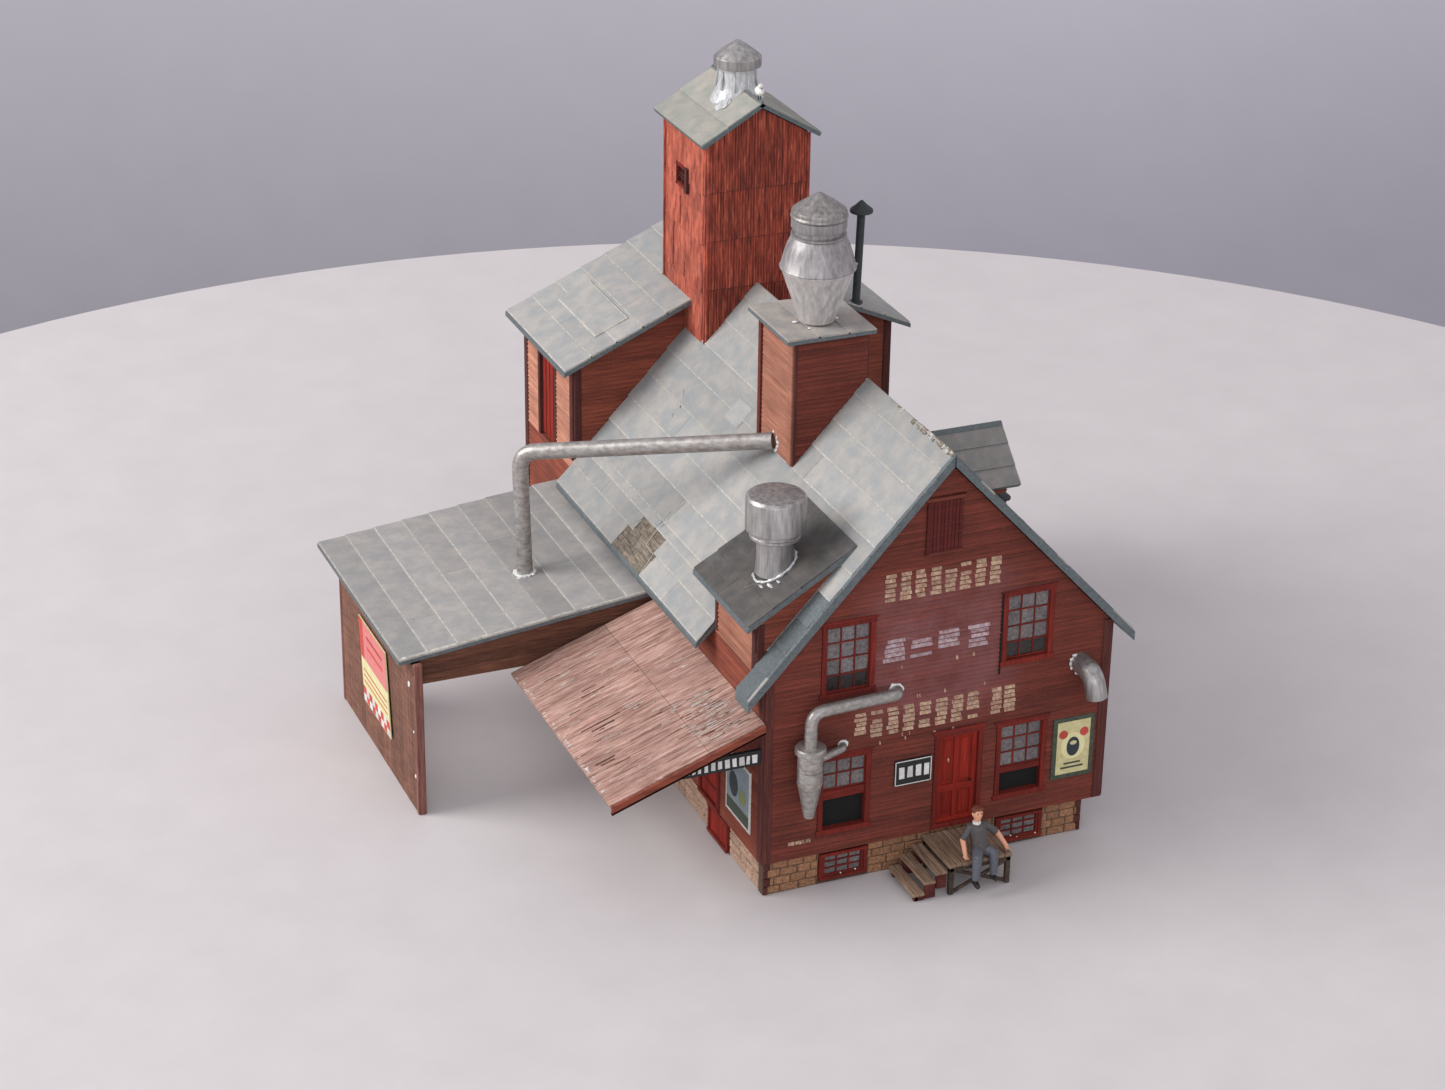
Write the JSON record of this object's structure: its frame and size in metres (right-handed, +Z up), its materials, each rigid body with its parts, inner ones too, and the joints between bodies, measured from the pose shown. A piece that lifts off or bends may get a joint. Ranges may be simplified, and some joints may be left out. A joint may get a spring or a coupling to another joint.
{
  "type": "model railway feed mill building",
  "caption": "HO-scale feed mill model: clapboard gable building with corrugated tower, dormers, drive-through shed, canopy, ducts, steps and a seated figure.",
  "frame": {"origin": "middle of the whole outline, on the surface the model stands on", "axes": "+X to the right along the front gable wall, +Y back along the main ridge, +Z up"},
  "size_m": [0.1584, 0.1856, 0.1646],
  "materials": {
    "cast_stone": "matt, dry-brushed plaster stone",
    "barn_red_siding": "matt weathered paint on clapboard",
    "faded_red_siding": "matt faded red-orange paint on clapboard",
    "corrugated_red": "matt rust-red paint on corrugated sheet",
    "tar_paper": "matt grey tar-paper, dusty",
    "faded_pink_planks": "matt, sun-bleached pinkish paint on planks",
    "brown_boards": "matt stained boards",
    "grey_brown_wood": "matt weathered strip wood",
    "trim_red": "satin red trim paint",
    "cast_pewter": "bare cast white metal, part polished",
    "stack_black": "matt black paint",
    "dark_board": "matt dark board with pale edge",
    "printed_paper": "matt plain paper with colour fields",
    "bird_white": "satin white",
    "figure_paint": "matt hand-painted casting"
  },
  "bodies": {
    "root": {"attic_hatch": "trim_red", "basement_window_left": "trim_red", "basement_window_right": "trim_red", "block_cheek_left": "barn_red_siding", "block_cheek_right": "barn_red_siding", "block_roof_left": "tar_paper", "block_roof_right": "tar_paper", "canopy_board": "dark_board", "canopy_fascia": "trim_red", "canopy_roof": "faded_pink_planks", "cyclone_body": "cast_pewter", "cyclone_inlet": "cast_pewter", "cyclone_outlet": "cast_pewter", "door_board": "dark_board", "dormer_cheek_back": "barn_red_siding", "dormer_cheek_front": "barn_red_siding", "dormer_roof": "tar_paper", "dormer_roof_vent": "cast_pewter", "elbow_vent": "cast_pewter", "foundation_back": "cast_stone", "foundation_front": "cast_stone", "foundation_left": "cast_stone", "foundation_right": "cast_stone", "front_door": "trim_red", "front_poster": "printed_paper", "head_house_pipe": "cast_pewter", "head_house_roof": "tar_paper", "head_house_vent": "cast_pewter", "head_house_walls": "barn_red_siding", "hoist_dormer_roof": "tar_paper", "hoist_dormer_walls": "barn_red_siding", "landing_deck": "grey_brown_wood", "landing_frame": "grey_brown_wood", "roof_bird": "bird_white", "roof_left": "tar_paper", "roof_right": "tar_paper", "seated_figure": "figure_paint", "shed_end_wall": "brown_boards", "shed_header_back": "brown_boards", "shed_header_front": "brown_boards", "shed_poster": "printed_paper", "shed_roof": "tar_paper", "side_door": "trim_red", "side_hatch": "trim_red", "side_poster": "printed_paper", "slope_vent": "stack_black", "smoke_stack": "stack_black", "stair_flight": "grey_brown_wood", "tower_roof": "tar_paper", "tower_vent": "cast_pewter", "tower_walls": "corrugated_red", "tower_window": "trim_red", "wall_back": "barn_red_siding", "wall_front": "barn_red_siding", "wall_left": "faded_red_siding", "wall_right": "barn_red_siding", "window_lower_left": "trim_red", "window_lower_right": "trim_red", "window_upper_left": "trim_red", "window_upper_right": "trim_red"}
  },
  "joints": []
}
